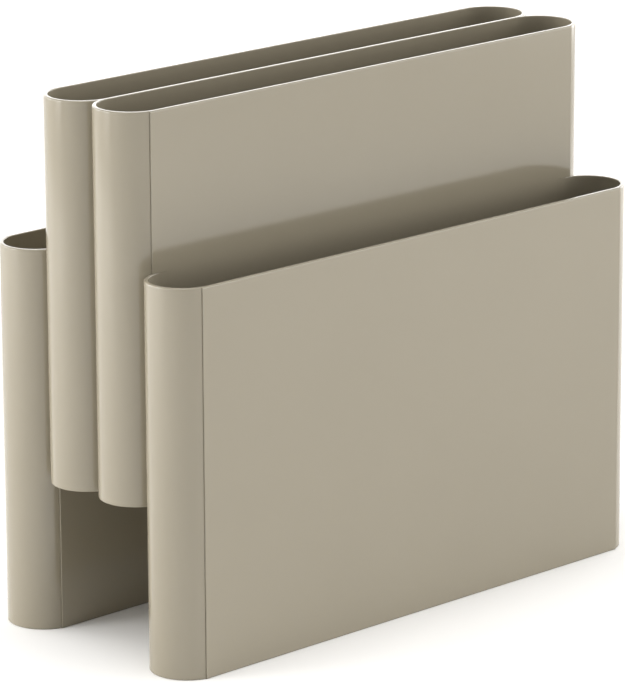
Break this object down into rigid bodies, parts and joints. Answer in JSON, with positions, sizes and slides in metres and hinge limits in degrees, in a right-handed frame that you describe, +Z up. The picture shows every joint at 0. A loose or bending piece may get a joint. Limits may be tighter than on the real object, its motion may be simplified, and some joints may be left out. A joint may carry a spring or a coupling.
{
  "type": "magazine file holder",
  "caption": "Free-standing magazine rack of open-topped, round-ended pockets joined side by side, the inner ones raised above the outer ones.",
  "frame": {"origin": "centre of the bounding box on the surface that the rack stands on", "axes": "+X along the pockets' length, +Y from the front pocket to the rear pocket across the rack, +Z up"},
  "size_m": [0.396, 0.1784, 0.3405],
  "materials": {
    "abs_shell": "glossy moulded ABS, warm putty beige",
    "abs_floor": "moulded ABS, warm putty beige, less polished"
  },
  "bodies": {
    "root": {"front_outer_wall": "abs_shell", "front_divider": "abs_shell", "centre_divider": "abs_shell", "rear_divider": "abs_shell", "rear_outer_wall": "abs_shell", "front_pocket_left_end": "abs_shell", "front_pocket_right_end": "abs_shell", "inner_front_pocket_left_end": "abs_shell", "inner_front_pocket_right_end": "abs_shell", "inner_rear_pocket_left_end": "abs_shell", "inner_rear_pocket_right_end": "abs_shell", "rear_pocket_left_end": "abs_shell", "rear_pocket_right_end": "abs_shell", "front_pocket_floor": "abs_floor", "inner_front_pocket_floor": "abs_floor", "inner_rear_pocket_floor": "abs_floor", "rear_pocket_floor": "abs_floor"}
  },
  "joints": []
}
